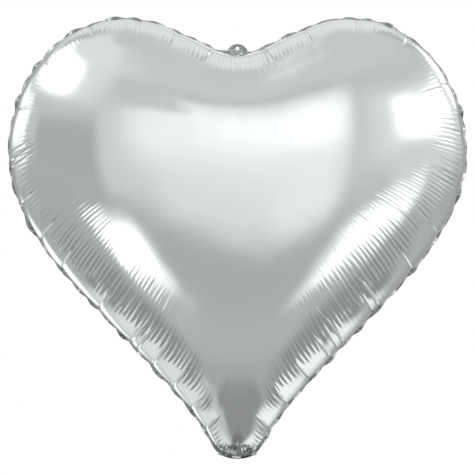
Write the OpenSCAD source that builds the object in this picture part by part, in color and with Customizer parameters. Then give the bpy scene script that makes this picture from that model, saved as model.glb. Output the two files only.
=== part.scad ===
// Heart-shaped foil balloon, inflated, with its neck folded up behind the tip.
// Millimetres. +Z is up and the front faces -Y. The origin is the centre of the
// hanging hole, which is in the seam plane (Y = 0) over the notch of the heart.

/* [Heart] */
// Width over the flange, side to side
heart_w = 602; // [450:1:700]
// Height over the flange, from the top of the lobes to the tip
heart_h = 576; // [430:1:670]
// Distance from the seam plane to the crown of each panel
crown_h = 125; // [90:1:140]
// How fast the panel climbs from its seam; lower is steeper
crown_power = 0.65; // [0.5:0.01:0.8]
// Width of the welded flange
flange_w = 8; // [5:0.5:12]

/* [Film] */
// Thickness of a panel film
film_t = 0.05; // [0.04:0.01:0.08]
// Thickness of the weld layer between the panel films
weld_t = 0.15; // [0.15:0.01:0.2]

/* [Hang tab] */
// Radius of the half-round tab
tab_r = 14; // [11:1:18]
// Height of the top of the tab over the hanging hole
tab_top = 6; // [5:0.5:8]
// Thickness of the tab, which is film folded double
tab_t = 0.4; // [0.32:0.02:0.6]
// Radius of the hanging hole
hang_r = 2.5; // [2:0.1:3]

/* [Neck] */
// Width of the neck
neck_w = 50; // [46:1:56]
// Radius that the folded neck follows round the back of the tip
neck_r = 94.6; // [94.6:0.2:98]
// Sweep of the folded neck
neck_sweep = 48; // [36:6:54]
// Width of the weld along each edge of the neck
neck_weld_w = 6; // [4:0.5:8]
// Radius of the inflation hole in the outer ply
inlet_r = 4; // [3:0.5:4.5]
// Radius of the rolled edge at the fold
fold_r = 0.2; // [0.15:0.05:0.3]
// Width of the rolled edge at the fold
fold_w = 24; // [16:1:28]

/* [Valve] */
// Width of the valve films
valve_w = 44; // [36:1:46]
// Length of the valve films inside the balloon
valve_len = 150; // [100:1:180]
// Thickness of a valve film
valve_t = 0.04; // [0.03:0.01:0.04]
// Thickness of the closed channel between the valve films
channel_t = 0.03; // [0.03:0.01:0.04]
// Width of the weld along each edge of the valve
valve_weld_w = 5; // [4:0.5:7]
// Thickness of the release coat that keeps the throat open
coat_t = 0.01; // [0.005:0.005:0.015]

/* [Hidden] */

foil = [0.80, 0.82, 0.81];
foil_shade = [0.62, 0.64, 0.63];
clear_film = [0.90, 0.93, 0.95];
coat_ink = [0.55, 0.60, 0.66];

// Half of the flange's outer edge, from the notch over the right lobe to the
// tip: cubic curves as [start, handle, handle, end, steps], at nominal size.
nominal_w = 602;
nominal_h = 576;
half_curves = [
    [[0, -5], [35, -5], [87, 42], [145, 42], 11],
    [[145, 42], [236, 42], [301, -43], [301, -135], 18],
    [[301, -135], [301, -199], [261, -259], [220, -304], 14],
    [[220, -304], [160, -370], [78, -450], [53, -488], 17],
    [[53, -488], [37, -511], [35, -534], [0, -534], 12]
];
size_x = heart_w / nominal_w;
size_z = heart_h / nominal_h;

function cubic(c, t) =
    pow(1 - t, 3) * c[0] + 3 * pow(1 - t, 2) * t * c[1]
    + 3 * (1 - t) * t * t * c[2] + pow(t, 3) * c[3];
half_edge = concat(
    [for (c = half_curves) for (i = [0 : c[4] - 1]) cubic(c, i / c[4])],
    [half_curves[4][3]]);
count_half = len(half_edge);
// The whole outer edge, clockwise as seen from the front, starting at the notch
edge = [for (p = concat(half_edge,
                        [for (i = [count_half - 2 : -1 : 1]) [-half_edge[i][0], half_edge[i][1]]]))
        [p[0] * size_x, p[1] * size_z]];
count = len(edge);

function ring(points, i) = points[(i + len(points)) % len(points)];
function inward(i) =
    let (d = ring(edge, i + 1) - ring(edge, i - 1))
    [d[1], -d[0]] / norm(d);
// The seam, where the inflated part of each panel begins
seam = [for (i = [0 : count - 1]) edge[i] + flange_w * inward(i)];

// Centre that the rings of each panel shrink to
crown = [0, -210 * size_z];
rings = 9;

// Smooth distance from the seam: the harmonic sum of the distances to it all
function pull(a, b) =
    let (across = abs(a[0] * b[1] - a[1] * b[0]), along = a * b)
    norm(b - a) * (across < 0.001 ? 1 / along : atan2(across, along) * PI / 180 / across);
function depth(p) =
    2 * PI / pull_sum(p, count - 1);
function pull_sum(p, last, i = 0, sum = 0) =
    i > last ? sum
    : pull_sum(p, last, i + 1, sum + pull(seam[i] - p, ring(seam, i + 1) - p));
crown_depth = depth(crown);
function rise(p) = crown_h * pow(depth(p) / crown_depth, crown_power);
slope_step = 0.5;

// Unit normal of the panel at a point of its plan, as [x, out, z]
function panel_normal(p) =
    let (h = rise(p),
         toward = (crown - p) / max(norm(crown - p), 0.001),
         side = [-toward[1], toward[0]],
         climb = norm(crown - p) < 1 ? 0 : (rise(p + slope_step * toward) - h) / slope_step,
         drift = norm(crown - p) < 1 ? 0 : (rise(p + slope_step * side) - h) / slope_step,
         slope = climb * toward + drift * side,
         n = [-slope[0], 1, -slope[1]])
    n / norm(n);

// One panel as a thin closed shell, with the dome towards +Y
module panel_shell() {
    base = weld_t / 2;
    plan = [for (k = [1 : rings - 1]) for (i = [0 : count - 1])
            crown + sin(90 * k / rings) * (seam[i] - crown)];
    normals = [for (p = plan) panel_normal(p)];
    inner_dome = [for (p = plan) [p[0], base + rise(p), p[1]]];
    outer_dome = [for (j = [0 : len(plan) - 1]) inner_dome[j] + film_t * normals[j]];
    inner = concat([[crown[0], base + crown_h, crown[1]]], inner_dome,
                   [for (p = seam) [p[0], base, p[1]]],
                   [for (p = edge) [p[0], base, p[1]]]);
    outer = concat([[crown[0], base + crown_h + film_t, crown[1]]], outer_dome,
                   [for (p = seam) [p[0], base + film_t, p[1]]],
                   [for (p = edge) [p[0], base + film_t, p[1]]]);
    side = len(inner);
    last = rings + 1;
    function at(k, i) = k == 0 ? 0 : 1 + (k - 1) * count + i % count;
    faces = concat(
        [for (i = [0 : count - 1]) [0, at(1, i), at(1, i + 1)]],
        [for (k = [1 : last - 1]) for (i = [0 : count - 1])
            each [[at(k, i), at(k + 1, i), at(k + 1, i + 1)],
                  [at(k, i), at(k + 1, i + 1), at(k, i + 1)]]]);
    rim = [for (i = [0 : count - 1])
            each [[at(last, i), side + at(last, i), side + at(last, i + 1)],
                  [at(last, i), side + at(last, i + 1), at(last, i + 1)]]];
    polyhedron(
        points = concat(inner, outer),
        faces = concat(
            [for (f = faces) [f[2], f[1], f[0]]],
            [for (f = faces) [side + f[0], side + f[1], side + f[2]]],
            [for (f = rim) [f[2], f[1], f[0]]]));
}

// A flat shape in the XZ plane, from Y = from to Y = to
module slab(from, to) {
    translate([0, to, 0]) rotate([90, 0, 0]) linear_extrude(to - from) children();
}

module flange_band() {
    difference() {
        polygon(edge);
        polygon(seam);
    }
}

module throat_strip() {
    tip = edge[count_half - 1][1];
    translate([-valve_w / 2, tip - 1]) square([valve_w, 3 * flange_w]);
}

module front_panel() {
    color(foil) mirror([0, 1, 0]) panel_shell();
}

module back_panel() {
    color(foil) panel_shell();
}

// The melted layer between the two flanges, open at the throat for the valve
module edge_weld() {
    color(foil_shade) slab(-weld_t / 2, weld_t / 2)
        difference() {
            flange_band();
            throat_strip();
        }
}

module hang_tab() {
    color(foil_shade) difference() {
        slab(-tab_t / 2, tab_t / 2)
            difference() {
                translate([0, tab_top - tab_r]) circle(tab_r, $fn = 72);
                polygon(edge);
            }
        rotate([90, 0, 0]) cylinder(h = 4, r = hang_r, center = true, $fn = 48);
    }
}

module valve_plan() {
    tip = edge[count_half - 1][1];
    intersection() {
        polygon(edge);
        translate([-valve_w / 2, tip]) square([valve_w, valve_len]);
    }
}

module valve_front_film() {
    color(clear_film) slab(-channel_t / 2 - valve_t, -channel_t / 2) valve_plan();
}

module valve_back_film() {
    color(clear_film) slab(channel_t / 2, channel_t / 2 + valve_t) valve_plan();
}

// The two long welds that make the valve films into a channel
module valve_side_welds() {
    tip = edge[count_half - 1][1];
    color(clear_film) slab(-channel_t / 2, channel_t / 2)
        difference() {
            valve_plan();
            translate([valve_weld_w - valve_w / 2, tip - 1])
                square([valve_w - 2 * valve_weld_w, valve_len + 2]);
        }
}

// The throat welds that hold the valve's outer faces to the two panels
module valve_anchor_welds() {
    valve_face = channel_t / 2 + valve_t;
    for (s = [0, 1])
        color(foil_shade) mirror([0, s, 0]) slab(valve_face, weld_t / 2)
            intersection() {
                flange_band();
                throat_strip();
            }
}

// Printed patch inside the channel, where the throat weld crosses the valve
module valve_release_coat() {
    color(coat_ink) slab(channel_t / 2 - coat_t, channel_t / 2)
        intersection() {
            polygon(edge);
            throat_strip();
            translate([valve_weld_w - valve_w / 2, edge[count_half - 1][1]])
                square([valve_w - 2 * valve_weld_w, 2.5 * flange_w]);
        }
}

// The folded neck runs along an arc in the YZ plane, from the fold upwards
neck_centre = [-36.5, -444.5 * size_z];
neck_from = -66.6;
neck_facet = 6;
inlet_facet = 1.5;

function on_arc(r, a) = neck_centre + r * [cos(a), sin(a)];

// A strip of the neck between two radii and two X values, its corners at the
// fold rounded off by the heart's own outline
module neck_strip(inner_r, outer_r, x0, x1) {
    angles = [neck_from : neck_facet : neck_from + neck_sweep];
    back = [neck_from + neck_sweep : -neck_facet : neck_from];
    points = concat([for (a = angles) on_arc(inner_r, a)], [for (a = back) on_arc(outer_r, a)]);
    intersection() {
        translate([x0, 0, 0]) rotate([90, 0, 90]) linear_extrude(x1 - x0) polygon(points);
        slab(-neck_r, neck_r) polygon(edge);
    }
}

// Continues the back panel: next to the dome once folded, with the rolled edge of the fold
module neck_inner_ply() {
    fold = on_arc(neck_r + film_t - fold_r, neck_from);
    color(foil) union() {
        neck_strip(neck_r, neck_r + film_t, -neck_w / 2, neck_w / 2);
        translate([-fold_w / 2, fold[0], fold[1]]) rotate([0, 90, 0])
            cylinder(h = fold_w, r = fold_r, $fn = 24);
    }
}

// Continues the front panel: outermost once folded, with the inflation hole
module neck_outer_ply() {
    r = neck_r + film_t + weld_t;
    hole_at = neck_from + neck_sweep - inlet_facet * neck_facet;
    color(foil) difference() {
        neck_strip(r, r + film_t, -neck_w / 2, neck_w / 2);
        translate([0, neck_centre[0], neck_centre[1]]) rotate([hole_at, 0, 0])
            translate([0, r - 3, 0]) rotate([-90, 0, 0]) cylinder(h = 6, r = inlet_r, $fn = 48);
    }
}

// The welded edges of the neck
module neck_side_welds() {
    r = neck_r + film_t;
    color(foil_shade)
        for (x0 = [-neck_w / 2, neck_w / 2 - neck_weld_w])
            neck_strip(r, r + weld_t, x0, x0 + neck_weld_w);
}

front_panel();
back_panel();
edge_weld();
hang_tab();
valve_front_film();
valve_back_film();
valve_side_welds();
valve_anchor_welds();
valve_release_coat();
neck_outer_ply();
neck_inner_ply();
neck_side_welds();
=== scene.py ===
"""Heart-shaped foil balloon: the looks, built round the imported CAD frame. Metres, +Z up, front faces -Y."""

import math

import bmesh
import bpy
import numpy as np
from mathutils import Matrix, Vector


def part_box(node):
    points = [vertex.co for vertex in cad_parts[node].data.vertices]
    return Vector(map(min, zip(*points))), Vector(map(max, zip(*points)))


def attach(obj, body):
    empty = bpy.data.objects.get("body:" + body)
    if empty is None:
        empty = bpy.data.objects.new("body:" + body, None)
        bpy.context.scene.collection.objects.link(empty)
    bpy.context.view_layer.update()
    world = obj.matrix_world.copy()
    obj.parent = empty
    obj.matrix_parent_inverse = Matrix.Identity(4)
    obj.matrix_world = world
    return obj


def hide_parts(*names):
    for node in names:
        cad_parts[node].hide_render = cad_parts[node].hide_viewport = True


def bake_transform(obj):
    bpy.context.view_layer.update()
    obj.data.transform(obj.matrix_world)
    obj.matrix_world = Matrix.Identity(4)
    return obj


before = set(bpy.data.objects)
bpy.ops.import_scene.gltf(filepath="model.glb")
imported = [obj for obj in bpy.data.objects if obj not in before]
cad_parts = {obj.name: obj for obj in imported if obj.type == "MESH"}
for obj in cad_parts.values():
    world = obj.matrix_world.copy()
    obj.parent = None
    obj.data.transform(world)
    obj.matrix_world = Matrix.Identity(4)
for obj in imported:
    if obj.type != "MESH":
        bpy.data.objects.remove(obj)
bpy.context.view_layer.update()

MM = 0.001
TAU = 2 * math.pi

# ---------------------------------------------------------------- sizes

panel_low, panel_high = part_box("front_panel")
weld_low, weld_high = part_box("edge_weld")
tab_low, tab_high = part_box("hang_tab")
valve_low, valve_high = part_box("valve_front_film")
neck_low, neck_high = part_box("neck_outer_ply")

HEART_W = panel_high.x - panel_low.x
HEART_H = panel_high.z - panel_low.z
CROWN = -panel_low.y
TIP_Z = panel_low.z
PLY = weld_high.y + 0.03 * MM          # middle of a panel film, off the seam plane
FLANGE_W = 8 * MM
HANG_R = 2.5 * MM
EAR_R = 14 * MM
NECK_W = neck_high.x - neck_low.x

NOMINAL_W = 602 * MM
NOMINAL_H = 576 * MM

# Half of the flange's outer edge, from the notch over the right lobe to the tip:
# cubic curves as (start, handle, handle, end), the same as the part's own outline
HALF_CURVES = [
    [(0, -5), (35, -5), (87, 42), (145, 42)],
    [(145, 42), (236, 42), (301, -43), (301, -135)],
    [(301, -135), (301, -199), (261, -259), (220, -304)],
    [(220, -304), (160, -370), (78, -450), (53, -488)],
    [(53, -488), (37, -511), (35, -534), (0, -534)],
]

# The film's mesh: lines run inwards from the seam, closest together on the two lower
# sides, and rings cross them. Each row is (level where the rings stop, how many rings,
# one line kept in this many)
LINES = 2048
LOWER_SIDES = (0.19, 0.475)
RING_PLAN = [(0.78, 34, 1), (0.86, 4, 2), (0.93, 5, 4), (0.99, 11, 8)]
FLANGE_RINGS = 5

# Where the seam gathers into scallops, as a share of the way round it, clockwise
# from the notch as seen from the front
NODES = np.array([
    0.018, 0.052, 0.090, 0.129, 0.174, 0.212, 0.249, 0.287, 0.318, 0.357, 0.393, 0.422, 0.446, 0.468,
    0.532, 0.548, 0.571, 0.592, 0.613, 0.645, 0.683, 0.709, 0.738, 0.768, 0.808, 0.848, 0.889, 0.925,
    0.955, 0.982,
])


# ---------------------------------------------------------------- small maths

def smooth(x):
    x = np.clip(x, 0.0, 1.0)
    return x * x * (3 - 2 * x)


def along(table, share):
    """A value from a table of (share, value) that runs to 0.5, alike on both sides of the heart."""
    places, values = zip(*table)
    return np.interp(np.minimum(share, 1 - share), places, values)


def around(table, share):
    """A value from a table of (share, value) that runs the whole way round the heart."""
    return np.interp(share, *zip(*table))


def plan_noise(rng, plan, wavelength, terms=6):
    """Smooth noise over the plan, from about -1 to 1."""
    total = np.zeros(len(plan))
    for _ in range(terms):
        angle = rng.uniform(0, TAU)
        step = TAU / (wavelength * rng.uniform(0.7, 1.4))
        total += np.sin(step * (plan @ [math.cos(angle), math.sin(angle)]) + rng.uniform(0, TAU))
    return total / math.sqrt(terms)


def crumple(rng, plan, size, terms=7):
    """Noise with flat facets and sharp folds, from about -1 to 1, as in crushed film."""
    total = np.zeros(len(plan))
    for _ in range(terms):
        angle = rng.uniform(0, TAU)
        step = TAU / (size * rng.uniform(0.7, 1.8))
        wave = step * (plan @ [math.cos(angle), math.sin(angle)]) + rng.uniform(0, TAU)
        total += np.abs((wave / math.pi) % 2 - 1) * 2 - 1
    return total / math.sqrt(terms)


# ---------------------------------------------------------------- outline and macro shape

def cubic(curve, steps):
    t = np.linspace(0, 1, steps, endpoint=False)[:, None]
    a, b, c, d = (np.array(p, float) for p in curve)
    return (1 - t) ** 3 * a + 3 * (1 - t) ** 2 * t * b + 3 * (1 - t) * t * t * c + t ** 3 * d


def heart_edge(steps=80):
    """The flange's outer edge, closed and clockwise from the notch."""
    half = np.concatenate([cubic(c, steps) for c in HALF_CURVES] + [[HALF_CURVES[-1][-1]]])
    whole = np.concatenate([half, (half * [-1, 1])[::-1][1:-1]])
    return whole * MM * [HEART_W / NOMINAL_W, HEART_H / NOMINAL_H]


def resample(points, shares):
    """Points at these shares of the way round, and the whole length."""
    closed = np.vstack([points, points[:1]])
    way = np.r_[0, np.cumsum(np.linalg.norm(np.diff(closed, axis=0), axis=1))]
    return np.stack([np.interp(shares * way[-1], way, closed[:, i]) for i in (0, 1)], 1), way[-1]


def even(count):
    return np.arange(count) / count


def line_shares():
    """Where the film's lines start: 1.45 times as many to the metre on the lower sides."""
    share = np.linspace(0, 1, 4001)
    fold = np.minimum(share, 1 - share)
    lower = smooth((fold - LOWER_SIDES[0] + 0.02) / 0.04) * smooth((LOWER_SIDES[1] + 0.02 - fold) / 0.04)
    crowd = 1 + 0.45 * lower
    total = np.r_[0, np.cumsum((crowd[1:] + crowd[:-1]) / 2)]
    return np.interp(even(LINES) * total[-1], total, share)


def inward(points):
    d = np.roll(points, -1, 0) - np.roll(points, 1, 0)
    n = np.stack([d[:, 1], -d[:, 0]], 1)
    return n / np.linalg.norm(n, axis=1)[:, None]


EDGE, _ = resample(heart_edge(), even(1200))
SHARE = line_shares()
SEAM, SEAM_L = resample(EDGE + FLANGE_W * inward(EDGE), SHARE)
SEAM_IN = inward(SEAM)


SOURCE_GAP = 60 * MM        # how far outside the edge the field's sources stand
SOURCE_COUNT = 200


class Pillow:
    """The inflated form: a soap-film field that is zero on the seam, from sources outside it."""

    def __init__(self):
        self.sources, _ = resample(EDGE - SOURCE_GAP * inward(EDGE), even(SOURCE_COUNT))
        rim = SEAM[::3]
        away = np.linalg.norm(rim[:, None] - self.sources[None], axis=2)
        self.weights = np.linalg.lstsq(np.log(away), (rim ** 2).sum(1) / 4, rcond=1e-12)[0]
        spine = np.stack([np.zeros(400), np.linspace(TIP_Z + 0.2, -0.1, 400)], 1)
        levels = self.level(spine)
        self.crown = spine[levels.argmax()]
        self.top = levels.max()

    def level(self, plan):
        away = np.linalg.norm(plan[:, None] - self.sources[None], axis=2)
        return np.log(away) @ self.weights - (plan ** 2).sum(1) / 4

    def slope(self, plan):
        gap = plan[:, None] - self.sources[None]
        return np.einsum("ijk,j->ik", gap / (gap ** 2).sum(2)[..., None], self.weights) - plan / 2

    def step(self, plan, level):
        """How the plan moves inwards as the level rises; level runs from 0 to 1 as the height does."""
        g = self.slope(plan)
        return 2 * level * self.top * g / (g ** 2).sum(1)[:, None]

    def trace(self, plan, start, end):
        """The plan carried inwards from one level to the next, by one Runge-Kutta step."""
        h = end - start
        k1 = self.step(plan, start)
        k2 = self.step(plan + k1 * h / 2, start + h / 2)
        k3 = self.step(plan + k2 * h / 2, start + h / 2)
        k4 = self.step(plan + k3 * h, start + h)
        return plan + h * (k1 + 2 * k2 + 2 * k3 + k4) / 6


# The crown is a little flatter than the soap film: height = CLIMB * level - FLATTEN * level ^ FLATTEN_POWER
CLIMB = 1.18
FLATTEN = 0.18
FLATTEN_POWER = 4.4
FIRST_RINGS_POWER = 1.25        # the first rings lie closer together towards the seam


def height(level):
    """Height of the film over the seam plane, as a share of the crown's."""
    return CLIMB * level - FLATTEN * level ** FLATTEN_POWER


def height_slope(level):
    return CLIMB - FLATTEN * FLATTEN_POWER * level ** (FLATTEN_POWER - 1)


def film_rings(pillow):
    """Rings of the panel from the seam inwards, each as lean() returns it."""
    rings = [(0.0, 1, SEAM, SHARE, np.zeros(LINES))]
    level = 0.0
    for stop, count, keep in RING_PLAN:
        for k in range(1, count + 1):
            start, last_keep, *last = rings[-1]
            end = level + (stop - level) * (k / count) ** (FIRST_RINGS_POWER if level == 0 else 1)
            old_plan, share, old_way = (values[::keep // last_keep] for values in last)
            plan = pillow.trace(old_plan, start, end)
            rise = CROWN * (height(end) - height(start))
            way = old_way + np.sqrt(((plan - old_plan) ** 2).sum(1) + rise ** 2)
            rings.append((end, keep, plan, share, way))
        level = stop
    return [lean(*ring) for ring in rings]


# How far the lines drift along the seam, away from the tip, for each unit of distance inwards
LEAN = [(0, 0), (0.12, 0), (0.19, 0.36), (0.31, 0.34), (0.40, 0.22), (0.46, 0.06), (0.49, 0)]
LEAN_REACH = 110 * MM


def lean(level, stride, plan, share, way):
    """A ring with its points moved along it: its level, one line kept in this many, the plan, the share
    and each point's distance from the seam, along the film and as seen from the front."""
    inset = np.linalg.norm(plan - SEAM[::stride], axis=1)
    shift = np.where(share < 0.5, 1, -1) * along(LEAN, share) * np.minimum(inset, LEAN_REACH) / SEAM_L
    plan_x, plan_z, way, inset = (np.interp(share - shift, share, values, period=1)
                                  for values in (plan[:, 0], plan[:, 1], way, inset))
    return level, stride, np.stack([plan_x, plan_z], 1), share, way, inset


# ---------------------------------------------------------------- pleats, creases and scallops

class Pleats:
    """A row of pleats round the seam: marks are where one meets the next."""

    def __init__(self, rng, marks, size, reach, uneven=0.22):
        self.marks = np.concatenate([marks, [marks[0] + 1]])
        count = len(marks)
        middle = (self.marks[:-1] + self.marks[1:]) / 2 % 1
        self.size = size(middle) * (1 + uneven * rng.uniform(-1, 1, count))
        self.reach = reach(middle) * (1 + 0.8 * uneven * rng.uniform(-1, 1, count))

    def at(self, share):
        place = self.marks[0] + (share - self.marks[0]) % 1
        i = np.clip(np.searchsorted(self.marks, place, side="right") - 1, 0, len(self.size) - 1)
        return i, (place - self.marks[i]) / (self.marks[i + 1] - self.marks[i])


def walk(rng, pitch, jitter):
    """Marks round the seam about one pitch apart; pitch is a function of the share."""
    marks = [0.0]
    while marks[-1] < 1:
        marks.append(marks[-1] + pitch(marks[-1]) / SEAM_L * (1 + jitter * rng.uniform(-1, 1)))
    return np.array(marks[:-1]) / marks[-1]


FINE_DEPTH = 0.21 * MM
BROAD_DEPTH = 0.12 * MM
CREASE_HALF = 1.7 * MM

# Against the share: the pitch of the pleats in mm, their size as a factor, how far from the
# seam they start and end, and how far the creases at the nodes reach, in mm as seen from the
# front. A table that ends at 0.5 holds for both sides.
FINE_PITCH = [(0, 5.0), (0.1, 6.2), (0.2, 6.8), (0.3, 6.8), (0.42, 6.4), (0.5, 5.0)]
FINE_SIZE = [(0, 1.1), (0.05, 0.7), (0.12, 0.6), (0.20, 0.8), (0.26, 1.0), (0.44, 0.9), (0.460, 0.15),
             (0.476, 0.15), (0.48, 2.0), (0.5, 2.4)]
FINE_START = [(0, 0), (0.05, 2), (0.12, 5), (0.16, 8), (0.20, 6), (0.25, 6), (0.28, 20), (0.33, 25),
              (0.36, 20), (0.44, 18), (0.47, 8), (0.48, 0), (0.52, 0), (0.53, 8), (0.56, 18), (0.66, 20),
              (0.70, 12), (0.76, 8), (0.78, 13), (0.84, 12), (0.88, 5), (0.95, 2), (1, 0)]
FINE_REACH = [(0, 38), (0.04, 28), (0.06, 16), (0.10, 20), (0.15, 22), (0.19, 28), (0.21, 38), (0.24, 60),
              (0.27, 84), (0.30, 98), (0.34, 98), (0.38, 84), (0.42, 66), (0.45, 46), (0.47, 28),
              (0.48, 13), (0.52, 13), (0.53, 28), (0.55, 44), (0.58, 62), (0.62, 80), (0.66, 84),
              (0.70, 84), (0.735, 62), (0.75, 34), (0.785, 28), (0.85, 24), (0.91, 22), (0.94, 16),
              (0.96, 28), (1, 38)]
NODE_REACH = [(0, 26), (0.1, 22), (0.2, 34), (0.3, 38), (0.4, 36), (0.46, 26), (0.5, 14)]

# The front's own long creases: (share, depth mm, reach mm, bend)
OWN_CREASES = [
    (0.998, 1.1, 30, 0.0), (0.020, 1.5, 30, 0.3), (0.982, 1.5, 30, -0.3), (0.009, 0.6, 22, 0.0),
    (0.990, 0.6, 22, 0.0), (0.245, 1.2, 46, 0.1), (0.252, 1.0, 40, 0.1), (0.352, 1.3, 60, 0.1),
    (0.388, 1.4, 66, 0.1), (0.402, 1.1, 60, 0.1), (0.5, 0.9, 26, 0.0), (0.606, 1.2, 46, -0.1),
    (0.612, 1.0, 40, -0.1), (0.765, 1.4, 46, 0.3), (0.770, 1.3, 42, 0.3), (0.776, 1.0, 36, 0.3),
]


def off_neck(share):
    """0 where the neck leaves the flange, which stays flat there, and 1 elsewhere."""
    return smooth((np.abs(share - 0.5) - 0.014) / 0.010)


RUFFLE_PITCH = 30 * MM
SEAM_SEED = 11
TIP_SEED = 23
FRONT_SEED = 41
BACK_SEED = 77
EAR_SEED = 5
NECK_SEED = 61
SWAY = 1.1 * MM                 # how far the ruffled flange stands off the seam plane
TIP_FLANGE_CRUMPLE = 1.4 * MM
TIP_FILM_CRUMPLE = 1.3 * MM


class Seam:
    """What the two panels and the flange share: scallops, ruffle and tilt."""

    def __init__(self):
        rng = np.random.default_rng(SEAM_SEED)
        self.nodes = Pleats(rng, NODES, np.ones_like, np.ones_like, 0.25)
        ruffle = walk(rng, lambda s: RUFFLE_PITCH, 0.3)
        self.ruffle = Pleats(rng, ruffle, np.ones_like, np.ones_like, 0.5)
        self.signs = np.where(np.arange(len(ruffle)) % 2, 1, -1) * rng.choice([1, 1, 1, -1], len(ruffle))
        self.lean = rng.uniform(-0.2, 0.2, len(NODES))

    def scallop(self, share):
        """How far the seam stands out from its smooth line: in at the nodes, out between them."""
        i, x = self.nodes.at(share)
        return (1.5 * np.sin(math.pi * x) ** 0.7 - 1.2) * self.nodes.size[i] * MM

    def width(self, share):
        """How much of the flange's width stands clear of its gathers."""
        i, x = self.ruffle.at(share)
        return FLANGE_W * (0.62 + 0.38 * self.ruffle.size[i] / 1.5 * np.sin(math.pi * x) ** 1.2)

    def sway(self, share):
        """How far the seam stands behind its plane."""
        i, x = self.ruffle.at(share)
        return SWAY * off_neck(share) * self.signs[i] * self.ruffle.size[i] * np.sin(math.pi * x) ** 2

    def tilt(self, share):
        """How much the flange leans back, as a slope."""
        i, x = self.ruffle.at(share)
        n, y = self.nodes.at(share)
        wave = 0.5 * self.signs[i] * self.ruffle.size[i] * np.sin(math.pi * x) ** 1.3
        return off_neck(share) * (wave + self.lean[n] * np.sin(math.pi * y))


SHARED = Seam()


def tip_weight(plan):
    """1 at the throat and the fold of the neck, 0 further up."""
    return smooth((TIP_Z + 26 * MM - plan[:, 1]) / (14 * MM))


def tip_crumple(plan):
    rng = np.random.default_rng(TIP_SEED)
    return tip_weight(plan) * (0.8 * crumple(rng, plan, 10 * MM) + 0.5 * crumple(rng, plan, 5 * MM))


def nearest_line(plan):
    """The seam line nearest to each point, and how far outside the seam the point is."""
    line = np.concatenate([((part[:, None] - SEAM[None]) ** 2).sum(2).argmin(1)
                           for part in np.array_split(plan, len(plan) // 1500 + 1)])
    return line, -((plan - SEAM[line]) * SEAM_IN[line]).sum(1)


def flange_y(share, out, plan):
    """The middle surface of the flange, behind the seam plane; out is the distance outside the seam."""
    return (SHARED.sway(share) + out * SHARED.tilt(share)
            + TIP_FLANGE_CRUMPLE * tip_crumple(plan) * np.clip(0.4 + out / FLANGE_W, 0, 1))


class Panel:
    """One side's own pleats. side is -1 for the front and 1 for the back."""

    def __init__(self, side, seed):
        self.side = side
        rng = np.random.default_rng(seed)
        fine = walk(rng, lambda s: float(along(FINE_PITCH, np.array(s))) * MM, 0.18)
        picks = np.cumsum(rng.integers(2, 5, len(fine)))
        broad = fine[picks[picks < len(fine)]]

        def reach(share):
            return MM * around(FINE_REACH, share)

        self.fine = Pleats(rng, fine, lambda s: FINE_DEPTH * along(FINE_SIZE, s), reach)
        self.broad = Pleats(rng, broad, lambda s: BROAD_DEPTH * along(FINE_SIZE, s), reach)
        for row in (self.fine, self.broad):
            vary = rng.uniform(0.75, 1.25, len(row.size))
            row.start = MM * around(FINE_START, row.marks[:-1] % 1) * vary
        self.creases = []
        for node in NODES:
            place = fine[np.abs(fine - node).argmin()]
            depth = rng.uniform(0.7, 1.2) * MM
            length = along(NODE_REACH, node) * rng.uniform(0.75, 1.35) * MM
            self.creases.append((place, depth, length, rng.uniform(-0.1, 0.1)))
        if side < 0:
            self.creases += [(place, depth * MM, length * MM, bend)
                             for place, depth, length, bend in OWN_CREASES]
        self.wobble = rng.uniform(0, TAU, 4)
        self.soft_seed = int(rng.integers(1 << 30))

    def displace(self, share, inset, way, plan):
        """Distance along the outward normal. way is the distance from the seam along the film, and
        inset is the same as seen from the front."""
        start = smooth(way / (9 * MM))
        total = self.pleated(share, inset, way, start)
        total += self.swollen(share, inset, way)
        total -= self.creased(share, inset, start)
        rng = np.random.default_rng(self.soft_seed)
        uneven = 0.5 * MM * plan_noise(rng, plan, 220 * MM) + 0.05 * MM * plan_noise(rng, plan, 70 * MM)
        total += smooth(way / (60 * MM)) * uneven
        total += TIP_FILM_CRUMPLE * tip_crumple(plan) * start
        if self.side > 0:
            low_enough = smooth((TIP_Z + 120 * MM - plan[:, 1]) / (40 * MM))
            under_neck = low_enough * smooth((38 * MM - np.abs(plan[:, 0])) / (12 * MM))
            total *= 1 - 0.85 * under_neck
        return total

    def pleated(self, share, inset, way, start):
        drift = 0.35 * MM / SEAM_L * smooth(way / (40 * MM))
        moved = share + drift * (np.sin(way / (13 * MM) + self.wobble[0] + 40 * TAU * share)
                                 + np.sin(way / (29 * MM) + self.wobble[1] - 26 * TAU * share))
        total = np.zeros(len(share))
        for row, sharpness in ((self.fine, 0.9), (self.broad, 0.7)):
            i, x = row.at(moved)
            fade = np.clip(1 - (inset / row.reach[i]) ** 2, 0, 1)
            fade *= 0.06 + 0.94 * smooth((inset - row.start[i]) / (6 * MM))
            total += row.size[i] * fade * start * (np.abs(np.sin(math.pi * x)) ** sharpness - 0.66) * 2
        return total

    def swollen(self, share, inset, way):
        """The film swells just inside the seam, most of all between the nodes."""
        i, x = SHARED.nodes.at(share)
        bulge = (1 - np.exp(-way / (8 * MM))) * np.exp(-(way / (70 * MM)) ** 1.7)
        sharp = np.exp(-(inset / (20 * MM)) ** 2)
        swell = sharp * np.sin(math.pi * x) ** 0.6 + (1 - sharp) * np.sin(math.pi * x) ** 2
        return MM * (3.9 + 1.5 * SHARED.nodes.size[i] * swell) * bulge

    def creased(self, share, inset, start):
        total = np.zeros(len(share))
        for place, depth, reach, bend in self.creases:
            off = ((share - place - bend * inset / SEAM_L * (inset / reach) + 0.5) % 1 - 0.5) * SEAM_L
            valley = np.clip(1 - np.abs(off) / CREASE_HALF, 0, 1) ** 1.2
            total += depth * valley * start * np.clip(1 - inset / reach, 0, 1) ** 0.7
        return total


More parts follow.
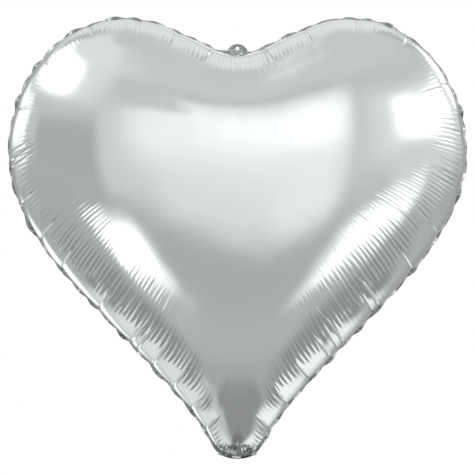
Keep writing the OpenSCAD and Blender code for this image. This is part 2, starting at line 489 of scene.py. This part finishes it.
def film_mesh(name, side, seed, rings, pillow):
    """A panel from the seam inwards, as one sheet."""
    panel = Panel(side, seed)
    points, faces, starts, counts = [], [], [], []

    def add_ring(place):
        starts.append(sum(counts))
        counts.append(len(place))
        points.append(place)

    for level, stride, plan, share, way, inset in rings:
        g = pillow.slope(plan)
        rise = CROWN * height_slope(level)
        normal = np.stack([-rise * g[:, 0], np.full(len(plan), 2 * level * pillow.top), -rise * g[:, 1]], 1)
        normal /= np.linalg.norm(normal, axis=1)[:, None]
        normal[:, 1] *= side
        depth = np.full(len(plan), side * (PLY + CROWN * height(level)))
        place = np.stack([plan[:, 0], depth, plan[:, 1]], 1)
        place += normal * panel.displace(share, inset, way, plan)[:, None]
        hold = np.exp(-(way / (16 * MM)) ** 1.5)
        moved = SHARED.scallop(share) * 0.6 * hold
        place[:, 0] -= SEAM_IN[::stride, 0] * moved
        place[:, 2] -= SEAM_IN[::stride, 1] * moved
        place[:, 1] += flange_y(share, np.zeros(len(plan)), plan) * hold
        add_ring(place)
    last = len(counts) - 1
    centre = np.array([[pillow.crown[0], side * (PLY + CROWN * height(1.0)), pillow.crown[1]]])
    add_ring(centre)

    for k in range(last):
        n, m = counts[k], counts[k + 1]
        j = np.arange(m)
        b0, b1 = starts[k + 1] + j, starts[k + 1] + (j + 1) % m
        if n == m:
            a0, a1 = starts[k] + j, starts[k] + (j + 1) % n
            faces.append(np.stack([a0, a1, b1, b0], 1).tolist())
        else:
            a0, a1, a2 = (starts[k] + (2 * j + d) % n for d in (0, 1, 2))
            faces.append(np.stack([a0, a1, b0], 1).tolist())
            faces.append(np.stack([a1, b1, b0], 1).tolist())
            faces.append(np.stack([a1, a2, b1], 1).tolist())
    j = np.arange(counts[last])
    rim = [starts[last] + j, starts[last] + (j + 1) % counts[last]]
    faces.append(np.stack([*rim, np.full(len(j), starts[-1])], 1).tolist())
    polys = [tuple(f) if side < 0 else tuple(f[::-1]) for group in faces for f in group]
    return build(name, np.concatenate(points), polys)


# ---------------------------------------------------------------- mesh helpers

def build(name, points, faces):
    mesh = bpy.data.meshes.new(name)
    mesh.from_pydata(np.asarray(points, float).tolist(), [], [tuple(int(i) for i in f) for f in faces])
    mesh.polygons.foreach_set("use_smooth", [True] * len(mesh.polygons))
    mesh.update()
    piece = bpy.data.objects.new(name, mesh)
    bpy.context.scene.collection.objects.link(piece)
    return piece


def grid_faces(rows, columns, closed=False):
    faces = []
    for r in range(rows - 1):
        for c in range(columns if closed else columns - 1):
            d = (c + 1) % columns
            faces.append((r * columns + c, r * columns + d, (r + 1) * columns + d, (r + 1) * columns + c))
    return faces


def closed_sheet(name, low, high, rows, columns, closed=False):
    """A thin solid between two grids of points, joined round its edges."""
    base = grid_faces(rows, columns, closed)
    n = rows * columns
    faces = [f[::-1] for f in base] + [tuple(i + n for i in f) for f in base]
    across = columns if closed else columns - 1
    for c in range(across):
        d = (c + 1) % columns
        faces.append((c, d, d + n, c + n))
        e = (rows - 1) * columns
        faces.append((e + d, e + c, e + c + n, e + d + n))
    if not closed:
        for r in range(rows - 1):
            a, b = r * columns, (r + 1) * columns
            faces.append((b, a, a + n, b + n))
            a, b = a + columns - 1, b + columns - 1
            faces.append((a, b, b + n, a + n))
    return build(name, np.concatenate([low, high]), faces)


# ---------------------------------------------------------------- materials

def nodes_of(name):
    material = bpy.data.materials.new(name)
    material.use_nodes = True
    tree = material.node_tree
    tree.nodes.clear()
    shader = tree.nodes.new("ShaderNodeBsdfPrincipled")
    output = tree.nodes.new("ShaderNodeOutputMaterial")
    tree.links.new(shader.outputs["BSDF"], output.inputs["Surface"])
    return material, tree, shader


def noise(tree, scale, detail=3.0, roughness=0.5):
    place = tree.nodes.new("ShaderNodeTexCoord")
    texture = tree.nodes.new("ShaderNodeTexNoise")
    texture.inputs["Scale"].default_value = scale
    texture.inputs["Detail"].default_value = detail
    texture.inputs["Roughness"].default_value = roughness
    tree.links.new(place.outputs["Object"], texture.inputs["Vector"])
    return texture.outputs["Fac"]


def spread(tree, value, low, high, from_low=0.3, from_high=0.7):
    node = tree.nodes.new("ShaderNodeMapRange")
    node.inputs["From Min"].default_value = from_low
    node.inputs["From Max"].default_value = from_high
    node.inputs["To Min"].default_value = low
    node.inputs["To Max"].default_value = high
    tree.links.new(value, node.inputs["Value"])
    return node.outputs["Result"]


def bump(tree, shader, layers):
    """Stacked bumps, each (height socket, strength, distance in metres)."""
    last = None
    for value, strength, distance in layers:
        node = tree.nodes.new("ShaderNodeBump")
        node.inputs["Strength"].default_value = strength
        node.inputs["Distance"].default_value = distance
        tree.links.new(value, node.inputs["Height"])
        if last is not None:
            tree.links.new(last, node.inputs["Normal"])
        last = node.outputs["Normal"]
    tree.links.new(last, shader.inputs["Normal"])


def tint(tree, shader, value, dark, light):
    ramp = tree.nodes.new("ShaderNodeMix")
    ramp.data_type = "RGBA"
    ramp.inputs["A"].default_value = (*dark, 1)
    ramp.inputs["B"].default_value = (*light, 1)
    tree.links.new(value, ramp.inputs["Factor"])
    tree.links.new(ramp.outputs["Result"], shader.inputs["Base Color"])


def paint_crease_shade(tree, shader):
    """Painted shade: the base colour turns dark grey in the sharp valleys, where the film meets itself, by
    the mesh's pointiness.
    """
    shape = tree.nodes.new("ShaderNodeNewGeometry")
    mix = tree.nodes.new("ShaderNodeMix")
    mix.data_type = "RGBA"
    mix.inputs["A"].default_value = (0.30, 0.31, 0.31, 1)
    tree.links.new(shader.inputs["Base Color"].links[0].from_socket, mix.inputs["B"])
    tree.links.new(spread(tree, shape.outputs["Pointiness"], 0, 1, 0.43, 0.495), mix.inputs["Factor"])
    tree.links.new(mix.outputs["Result"], shader.inputs["Base Color"])


# The strip of painted shade at the throat, where the film is crushed: its height above the tip, and how far
# its upper edge fades
TIP_SHADE_TOP = 19 * MM
TIP_SHADE_FADE = 3 * MM


def paint_tip_shade(tree, shader):
    """At the throat the film is crushed into small facets. Painted shade: in a strip above the tip the base
    colour turns dark grey in noise blotches, for facets that lie in shade.
    """
    place = tree.nodes.new("ShaderNodeTexCoord")
    split = tree.nodes.new("ShaderNodeSeparateXYZ")
    tree.links.new(place.outputs["Object"], split.inputs[0])
    top = TIP_Z + TIP_SHADE_TOP
    strip = spread(tree, split.outputs["Z"], 1, 0, top - TIP_SHADE_FADE, top + TIP_SHADE_FADE)
    patches = spread(tree, noise(tree, 110.0, 1.0), 0.15, 1, 0.44, 0.52)
    both = tree.nodes.new("ShaderNodeMath")
    both.operation = "MULTIPLY"
    tree.links.new(strip, both.inputs[0])
    tree.links.new(patches, both.inputs[1])
    mix = tree.nodes.new("ShaderNodeMix")
    mix.data_type = "RGBA"
    tree.links.new(shader.inputs["Base Color"].links[0].from_socket, mix.inputs["A"])
    mix.inputs["B"].default_value = (0.20, 0.22, 0.21, 1)
    tree.links.new(both.outputs[0], mix.inputs["Factor"])
    tree.links.new(mix.outputs["Result"], shader.inputs["Base Color"])


def foil_material(name, crushed):
    material, tree, shader = nodes_of(name)
    shader.inputs["Metallic"].default_value = 1.0
    tint(tree, shader, spread(tree, noise(tree, 9.0), 0, 1), (0.848, 0.892, 0.878), (0.872, 0.913, 0.900))
    # Painted shade: the base colour darkens in the film's sharp valleys.
    paint_crease_shade(tree, shader)
    # Painted shade: dark blotches over the crushed strip at the throat.
    if crushed:
        paint_tip_shade(tree, shader)
    tree.links.new(spread(tree, noise(tree, 26.0, 4.0), 0.085, 0.15), shader.inputs["Roughness"])
    bump(tree, shader, [(noise(tree, 45.0, 2.0), 0.12, 0.0004), (noise(tree, 900.0, 2.0), 0.05, 0.00006)])
    return material


def weld_material(name, dark, light, crushed=False):
    material, tree, shader = nodes_of(name)
    shader.inputs["Metallic"].default_value = 1.0
    tint(tree, shader, spread(tree, noise(tree, 60.0), 0, 1), dark, light)
    tree.links.new(spread(tree, noise(tree, 160.0, 3.0), 0.14, 0.28), shader.inputs["Roughness"])
    bump(tree, shader, [(noise(tree, 420.0, 2.0), 0.3, 0.0003)])
    # Painted shade: dark blotches over the crushed strip at the throat.
    if crushed:
        paint_tip_shade(tree, shader)
    return material


def valve_material():
    material, tree, shader = nodes_of("valve_film")
    shader.inputs["IOR"].default_value = 1.51
    shader.inputs["Transmission Weight"].default_value = 0.85
    tint(tree, shader, spread(tree, noise(tree, 40.0), 0, 1), (0.86, 0.89, 0.92), (0.94, 0.96, 0.97))
    tree.links.new(spread(tree, noise(tree, 90.0), 0.18, 0.34), shader.inputs["Roughness"])
    bump(tree, shader, [(noise(tree, 120.0), 0.2, 0.0004)])
    return material


def ink_material():
    material, tree, shader = nodes_of("coat_ink")
    tint(tree, shader, spread(tree, noise(tree, 300.0), 0, 1), (0.50, 0.55, 0.62), (0.60, 0.65, 0.70))
    tree.links.new(spread(tree, noise(tree, 500.0), 0.55, 0.75), shader.inputs["Roughness"])
    bump(tree, shader, [(noise(tree, 1500.0), 0.2, 0.00005)])
    return material


FOIL, NECK_FOIL = foil_material("silver_foil", True), foil_material("neck_foil", False)
VALVE, INK = valve_material(), ink_material()
WELD = weld_material("foil_weld", (0.26, 0.28, 0.275), (0.42, 0.44, 0.435))
# The flange's colour runs in random patches from dark to pale grey, much darker than the film's foil: painted
# shade, for the dark wedges of the rippled flange. It also takes the painted shade of the crushed throat.
FLANGE = weld_material("foil_flange", (0.30, 0.32, 0.315), (0.78, 0.80, 0.795), crushed=True)


def finish_piece(piece, body, material, slot, *replaced):
    piece.data.materials.clear()
    piece.data.materials.append(material)
    if body:
        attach(piece, body)
    if replaced:
        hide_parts(*replaced)
    return piece


# ---------------------------------------------------------------- pieces

def make_panels():
    pillow = Pillow()
    rings = film_rings(pillow)
    films = []
    for name, side, seed, node in (("front_film", -1, FRONT_SEED, "front_panel"),
                                   ("back_film", 1, BACK_SEED, "back_panel")):
        film = film_mesh(name, side, seed, rings, pillow)
        films.append(finish_piece(film, "balloon", FOIL, "silver_foil", node))
    return films


def make_flanges():
    """The margins of the two panels outside the seam, pressed together and rippled."""
    for name, side in (("front_flange", -1), ("back_flange", 1)):
        grid = []
        for t in np.linspace(1, 0, FLANGE_RINGS + 1):
            out = t * SHARED.width(SHARE)
            plan = SEAM - SEAM_IN * (out + 0.6 * SHARED.scallop(SHARE))[:, None]
            grid.append(np.stack([plan[:, 0], side * PLY + flange_y(SHARE, out, plan), plan[:, 1]], 1))
        faces = grid_faces(FLANGE_RINGS + 1, LINES, closed=True)
        piece = build(name, np.concatenate(grid), faces if side < 0 else [f[::-1] for f in faces])
        finish_piece(piece, "balloon", FLANGE, "silver_foil")


def make_rim_weld():
    """The melted layer between the two flanges; its cut edge shows as a fine line."""
    share = SHARE[::2]
    grids = []
    for y_off in (-weld_high.y, weld_high.y):
        for t, extra in ((0.05, 0), (1, 0.25 * MM)):
            out = t * SHARED.width(share) + extra
            plan = SEAM[::2] - SEAM_IN[::2] * (out + 0.6 * SHARED.scallop(share))[:, None]
            grids.append(np.stack([plan[:, 0], y_off + flange_y(share, out, plan), plan[:, 1]], 1))
    low, high = np.concatenate(grids[:2]), np.concatenate(grids[2:])
    piece = closed_sheet("rim_weld", low, high, 2, LINES // 2, closed=True)
    return finish_piece(piece, "balloon", WELD, "foil_weld", "edge_weld")


def middle_y(plan):
    """The middle surface between the films: the flange outside the seam, fading to the plane inside it."""
    line, out = nearest_line(plan)
    return flange_y(SHARE[line], np.maximum(out, 0), plan) * np.exp(-(np.minimum(out, 0) / (16 * MM)) ** 2)


def throat_piece(name, inner, outer, width, low_z, high_z, shift=0.0):
    """A thin layer of the valve between two distances behind the throat's middle surface."""
    columns = max(3, int(width / (1.5 * MM)))
    rows = max(3, int((high_z - low_z) / (2.5 * MM)))
    across = shift + np.linspace(-width / 2, width / 2, columns)
    x, z = np.meshgrid(across, np.linspace(low_z, high_z, rows))
    plan = np.stack([x.ravel(), z.ravel()], 1)
    line, out = nearest_line(plan)
    plan = plan + SEAM_IN[line] * np.maximum(out - 0.6 * FLANGE_W, 0)[:, None]
    y = middle_y(plan)
    low, high = (np.stack([plan[:, 0], y + d, plan[:, 1]], 1) for d in (inner, outer))
    return closed_sheet(name, low, high, rows, columns)


def make_valve():
    width, low_z, high_z = valve_high.x - valve_low.x, valve_low.z, valve_high.z
    gap, film, side_w = 0.015 * MM, 0.04 * MM, 5 * MM
    for name, node, a, b in (("valve_skin_front", "valve_front_film", -gap - film, -gap),
                             ("valve_skin_back", "valve_back_film", gap, gap + film)):
        piece = throat_piece(name, a, b, width, low_z, high_z)
        finish_piece(piece, "balloon", VALVE, "valve_film", node)
    for i, s in enumerate((-1, 1)):
        shift = s * (width - side_w) / 2
        piece = throat_piece("valve_edge_weld_%d" % i, -0.9 * gap, 0.9 * gap, side_w, low_z, high_z, shift)
        finish_piece(piece, "balloon", VALVE, "valve_film", *(["valve_side_welds"] if i == 0 else []))
        a, b = sorted((s * (gap + film), s * weld_high.y))
        piece = throat_piece("valve_anchor_%d" % i, a, b, width, TIP_Z, TIP_Z + FLANGE_W)
        finish_piece(piece, "balloon", WELD, "foil_weld", *(["valve_anchor_welds"] if i == 0 else []))
    print_w, print_top = width - 2 * side_w, TIP_Z + 20 * MM
    piece = throat_piece("valve_throat_print", 0.35 * gap, 0.95 * gap, print_w, TIP_Z, print_top)
    finish_piece(piece, "balloon", INK, "coat_ink", "valve_release_coat")


def make_hang_ear():
    """Half-round ear of doubled film behind the notch, punched for a ribbon."""
    turns, rings = 120, 14
    low_z = tab_low.z - 7 * MM
    centre_z = tab_high.z - EAR_R
    a = np.linspace(0, TAU, turns, endpoint=False)
    away = np.stack([np.sin(a), np.cos(a)], 1)
    # distance from the hole's centre to the ear's outline: a circle, cut off below
    b = away[:, 1] * centre_z
    to_circle = b + np.sqrt(b * b - centre_z ** 2 + EAR_R ** 2)
    to_cut = np.where(away[:, 1] < -1e-6, low_z / np.minimum(away[:, 1], -1e-6), 1.0)
    outer = np.minimum(to_circle, to_cut)
    sheets = []
    for half in (-0.1 * MM, 0.1 * MM):
        rows = []
        for t in np.linspace(0, 1, rings):
            r = HANG_R + (outer - HANG_R) * t
            rows.append(away * r[:, None])
        plan = np.concatenate(rows)
        crushed = 0.35 * MM * crumple(np.random.default_rng(EAR_SEED), plan, 9 * MM)
        y = half + crushed + 1.5 * MM * smooth((plan[:, 1] + 6 * MM) / (12 * MM))
        sheets.append(np.stack([plan[:, 0], y, plan[:, 1]], 1))
    piece = closed_sheet("hang_ear", sheets[0], sheets[1], rings, turns, closed=True)
    return finish_piece(piece, "balloon", WELD, "foil_weld", "hang_tab")


# The folded neck: from the flange's edge it turns up behind the tip and follows an arc in
# the YZ plane
NECK_CENTRE = np.array([-36.5 * MM, -444.5 * MM * HEART_H / NOMINAL_H])
NECK_R = 94.6 * MM
NECK_START = math.radians(-66.6)
NECK_END = math.radians(-18.6)
INLET_AT = math.radians(-27.6)
INLET_R = 4 * MM
WELD_W = 6 * MM
NECK_PUFF = 0.7 * MM            # how far the outer ply stands off the inner one along the middle
FOLD_ROWS = 8

# Creases across the neck: (distance from the fold, slant)
NECK_FOLDS = [(0.024, 0.10), (0.047, -0.14), (0.063, 0.05)]


def neck_grid(x_from, x_to, columns, rows):
    """The neck's middle surface as a grid: points, outward normals, and flat places across and along."""
    edge = heart_edge()
    right = edge[(edge[:, 0] >= 0) & (edge[:, 1] < TIP_Z + 90 * MM)]
    order = right[:, 0].argsort()
    x = np.linspace(x_from, x_to, columns)
    edge_z = np.interp(np.abs(x), right[order, 0], right[order, 1])
    first = np.arcsin((edge_z + 2.7 * MM - NECK_CENTRE[1]) / NECK_R)
    points, normals, flat = [], [], []
    for k in range(rows):
        if k < FOLD_ROWS:
            t = k / FOLD_ROWS
            y1 = NECK_CENTRE[0] + NECK_R * np.cos(first)
            y = 2 * t * (1 - t) * 1.5 * MM + t * t * y1
            z = (1 - t) ** 2 * (edge_z + 0.4 * MM) + 2 * t * (1 - t) * (edge_z - 1.2 * MM)
            z += t * t * (edge_z + 2.7 * MM)
            turn = -math.pi / 2 + t * (first + math.pi / 2)
            along_way = NECK_R * first - (1 - t) * 4 * MM
        else:
            turn = first + (NECK_END - first) * (k - FOLD_ROWS) / (rows - 1 - FOLD_ROWS)
            y, z = NECK_CENTRE[0] + NECK_R * np.cos(turn), NECK_CENTRE[1] + NECK_R * np.sin(turn)
            along_way = NECK_R * turn
        points.append(np.stack([x, y, z], 1))
        normals.append(np.stack([np.zeros(columns), np.cos(turn), np.sin(turn)], 1))
        flat.append(np.stack([x, along_way], 1))
    return (np.concatenate(part) for part in (points, normals, flat))


def neck_lift(flat):
    """How far the neck stands off its arc: it springs a little, and keeps its fold marks."""
    rng = np.random.default_rng(NECK_SEED)
    way = flat[:, 1] - NECK_R * NECK_START
    free = smooth(way / (14 * MM))
    marks = sum(0.5 * MM * np.exp(-np.abs(way - at - slant * flat[:, 0]) / (1.6 * MM))
                for at, slant in NECK_FOLDS)
    soft = 0.26 * MM * crumple(rng, flat, 26 * MM) + 0.07 * MM * crumple(rng, flat, 9 * MM)
    return free * (1.5 * MM + soft + marks + 1.2 * MM * smooth(way / NECK_R / 0.8)) + 0.25 * MM


def neck_piece(name, node, x_from, x_to, low, high, puff, material, slot, hole=False):
    columns, rows = max(3, int((x_to - x_from) / (0.9 * MM))), 96
    points, normals, flat = neck_grid(x_from, x_to, columns, rows)
    if hole:
        away = flat - [0, NECK_R * INLET_AT]
        far = np.linalg.norm(away, axis=1)
        reach = np.where(far < 2 * INLET_R, INLET_R + far / 2, far)
        move = away * ((reach - far) / np.maximum(far, 1e-6))[:, None]
        turn = (flat[:, 1] + move[:, 1]) / NECK_R
        near = far < 2 * INLET_R
        points[near, 0] += move[near, 0]
        points[near, 1:] = NECK_CENTRE + NECK_R * np.stack([np.cos(turn[near]), np.sin(turn[near])], 1)
        flat = flat + move
    lift = neck_lift(flat) + puff * np.clip(1 - (flat[:, 0] / (NECK_W / 2 - WELD_W)) ** 2, 0, 1)
    skins = [points + normals * (lift + d)[:, None] for d in (low, high)]
    piece = closed_sheet(name, skins[0], skins[1], rows, columns)
    if hole:
        drop_faces(piece, set(np.nonzero(far < 1.1 * MM)[0].tolist()), rows * columns)
    finish_piece(piece, None, material, slot, *([node] if node else []))
    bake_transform(piece)
    return piece


def drop_faces(piece, gone, layer):
    """Takes out the faces whose corners are all in the hole, on both skins."""
    mesh = bmesh.new()
    mesh.from_mesh(piece.data)
    inside = [f for f in mesh.faces if all(v.index % layer in gone for v in f.verts)]
    bmesh.ops.delete(mesh, geom=inside, context="FACES")
    mesh.to_mesh(piece.data)
    mesh.free()


def make_neck():
    half, film, weld = NECK_W / 2, 0.05 * MM, 0.15 * MM
    inner = neck_piece("neck_film_inner", "neck_inner_ply", -half, half, 0, film, 0.0,
                       NECK_FOIL, "silver_foil")
    outer = neck_piece("neck_film_outer", "neck_outer_ply", -half, half, film + weld, 2 * film + weld,
                       NECK_PUFF, NECK_FOIL, "silver_foil", hole=True)
    side_gap, ply_gap = 0.2 * MM, 0.02 * MM
    edges = ((-half + side_gap, -half + WELD_W), (half - WELD_W, half - side_gap))
    for i, (x_from, x_to) in enumerate(edges):
        neck_piece("neck_weld_%d" % i, "neck_side_welds" if i == 0 else None, x_from, x_to,
                   film + ply_gap, film + weld - ply_gap, 0.0, WELD, "foil_weld")


front_film, back_film = make_panels()
make_flanges()
make_rim_weld()
make_valve()
make_hang_ear()
make_neck()


# ---------------------------------------------------------------- stage, light and camera

def make_world():
    """A studio seen from the balloon: pale walls, a white backdrop behind and soft boxes in front."""
    world = bpy.data.worlds.new("studio")
    bpy.context.scene.world = world
    world.use_nodes = True
    tree = world.node_tree
    tree.nodes.clear()
    new, link = tree.nodes.new, tree.links.new
    place = new("ShaderNodeTexCoord")
    split = new("ShaderNodeSeparateXYZ")
    link(place.outputs["Generated"], split.inputs[0])

    def maths(operation, a, b=None):
        node = new("ShaderNodeMath")
        node.operation = operation
        for socket, value in zip(node.inputs, (a, b)):
            if value is None:
                continue
            if isinstance(value, (int, float)):
                socket.default_value = value
            else:
                link(value, socket)
        return node.outputs[0]

    # azimuth is 0 towards -Y, positive towards +X; both in degrees
    turn = maths("ARCTAN2", split.outputs[0], maths("MULTIPLY", split.outputs[1], -1))
    azimuth = maths("MULTIPLY", turn, 180 / math.pi)
    elevation = maths("MULTIPLY", maths("ARCSINE", split.outputs[2]), 180 / math.pi)

    def ramp(value, start, end):
        node = new("ShaderNodeMapRange")
        node.interpolation_type = "SMOOTHSTEP"
        node.inputs["From Min"].default_value = min(start, end)
        node.inputs["From Max"].default_value = max(start, end)
        node.inputs["To Min"].default_value = 0 if start < end else 1
        node.inputs["To Max"].default_value = 1 if start < end else 0
        link(value, node.inputs["Value"])
        return node.outputs["Result"]

    def soft_box(az, az_half, el, el_half, az_soft, el_soft, slant):
        """1 inside a box of the sky and 0 outside it, with soft edges."""
        across = maths("PINGPONG", maths("SUBTRACT", azimuth, az), 180)
        tilted = maths("SUBTRACT", elevation, maths("MULTIPLY", maths("SUBTRACT", azimuth, az), slant))
        upright = maths("ABSOLUTE", maths("SUBTRACT", tilted, el))
        wide = ramp(across, az_half + az_soft, az_half - az_soft)
        high = ramp(upright, el_half + el_soft, el_half - el_soft)
        return maths("MULTIPLY", wide, high)

    def layer(under, mask, brightness):
        """Replaces what is under by brightness where mask is 1."""
        node = new("ShaderNodeMix")
        link(mask, node.inputs["Factor"])
        if isinstance(under, float):
            node.inputs["A"].default_value = under
        else:
            link(under, node.inputs["A"])
        node.inputs["B"].default_value = brightness
        return node.outputs["Result"]

    light = ROOM[0][1]
    for (low, _), (high, brightness) in zip(ROOM, ROOM[1:]):
        light = layer(light, ramp(elevation, low, high), brightness)
    for brightness, *edges in SOFT_BOXES:
        light = layer(light, soft_box(*edges), brightness)
    path = new("ShaderNodeLightPath")
    light = layer(light, path.outputs["Is Camera Ray"], 1.0)
    colour = new("ShaderNodeBackground")
    colour.inputs["Color"].default_value = (1.0, 1.0, 1.0, 1)
    link(light, colour.inputs["Strength"])
    output = new("ShaderNodeOutputWorld")
    link(colour.outputs[0], output.inputs["Surface"])


# Brightness of the room at a few elevations, as (elevation, brightness), and the light and dark
# boxes that stand in it, each later one over those before: (brightness, azimuth and half width,
# elevation and half height, soft edge each way, slant), all in degrees but the first and the last
ROOM = [(-80, 0.24), (-62, 0.40), (-40, 0.49), (-16, 0.44), (2, 0.47),
        (30, 0.54), (62, 0.64), (80, 0.62)]
SOFT_BOXES = [
    (0.44, -58, 34, 11, 15, 9, 8, 0.0),
    (0.56, 38, 26, 2, 12, 9, 9, 0.0),
    (0.80, -75, 50, 66, 12, 18, 5, 0.0),
    (0.82, -88, 62, 44, 17, 24, 14, 0.0),
    (2.00, -101, 43, 43.5, 10, 12, 7, 0.0),
    (0.60, -93, 10, 13, 10, 5, 4, 0.0),
    (0.55, -117, 14, -5, 6, 6, 4, 0.0),
    (1.15, -131, 31, 13, 11, 3, 4, 0.0),
    (0.80, 78, 52, 20, 17, 18, 10, 0.0),
    (1.90, 79, 33, 22, 8.5, 9, 4, 0.0),
    (0.82, 180, 50, 51, 20, 16, 8, 0.0),
    (0.50, -136, 9, 52, 15, 8, 8, 0.0),
    (0.50, 136, 9, 52, 15, 8, 8, 0.0),
    (0.72, 76, 32, -4, 8, 8, 5, 0.0),
    (0.68, -13, 19, 12, 17, 4, 5, 0.0),
    (0.80, 4, 15, 19, 23, 5, 4, 0.0),
    (0.98, -1, 18, 23, 14, 8, 9, 0.0),
    (1.25, 9, 8, 23, 10, 6, 8, 0.0),
    (0.92, 11, 7, 2, 9, 4, 6, 0.0),
    (0.60, -15, 12, 40, 9, 3, 2, 0.0),
    (0.29, -90, 36, -43, 9, 14, 4, 0.0),
    (0.29, 90, 36, -43, 9, 14, 4, 0.0),
    (2.00, -37, 13, -22.5, 7, 5, 5, 0.3),
    (1.30, 48, 21, -18.5, 9.5, 6, 4, 0.1),
    (0.30, 0, 76, -67, 9, 10, 4, 0.0),
    (0.20, 5, 50, -80, 9, 12, 4, 0.0),
    (0.56, -80, 26, -63, 10, 10, 3, 0.0),
    (0.80, -125, 52, -47, 11, 10, 2, -0.5),
    (1.00, 125, 52, -48.5, 11, 10, 2, 0.5),
    (0.38, 180, 44, 0, 30, 8, 12, 0.0),
    (0.95, 180, 17, 12, 17, 8, 8, 0.0),
    (2.00, 140, 12, 24, 8, 5, 5, 0.0),
    (1.60, -146, 10, -20, 6, 5, 5, 0.0),
]


def make_stage():
    scene = bpy.context.scene
    scene.view_settings.view_transform = "Standard"
    floor_z = TIP_Z - 0.36
    bpy.ops.mesh.primitive_plane_add(size=40, location=(0, 0, floor_z))
    floor = bpy.context.object
    floor.name = "floor"
    material, tree, shader = nodes_of("floor_paint")
    shader.inputs["Roughness"].default_value = 0.9
    tint(tree, shader, spread(tree, noise(tree, 3.0), 0, 1), (0.80, 0.80, 0.80), (0.82, 0.82, 0.82))
    path = tree.nodes.new("ShaderNodeLightPath")
    white = tree.nodes.new("ShaderNodeEmission")
    white.inputs["Color"].default_value = (1, 1, 1, 1)
    mix = tree.nodes.new("ShaderNodeMixShader")
    tree.links.new(path.outputs["Is Camera Ray"], mix.inputs["Fac"])
    tree.links.new(shader.outputs["BSDF"], mix.inputs[1])
    tree.links.new(white.outputs[0], mix.inputs[2])
    output = [n for n in tree.nodes if n.type == "OUTPUT_MATERIAL"][0]
    tree.links.new(mix.outputs[0], output.inputs["Surface"])
    floor.data.materials.append(material)
    floor.visible_glossy = False

    camera_data = bpy.data.cameras.new("camera")
    camera = bpy.data.objects.new("camera", camera_data)
    scene.collection.objects.link(camera)
    distance = 2.6
    view_width = 0.6194
    middle_z = -0.2465
    camera.location = (0, -distance, middle_z)
    camera.rotation_euler = (math.pi / 2, 0, 0)
    camera_data.sensor_width = 36
    camera_data.lens = 36 * distance / view_width
    scene.camera = camera


make_world()
make_stage()
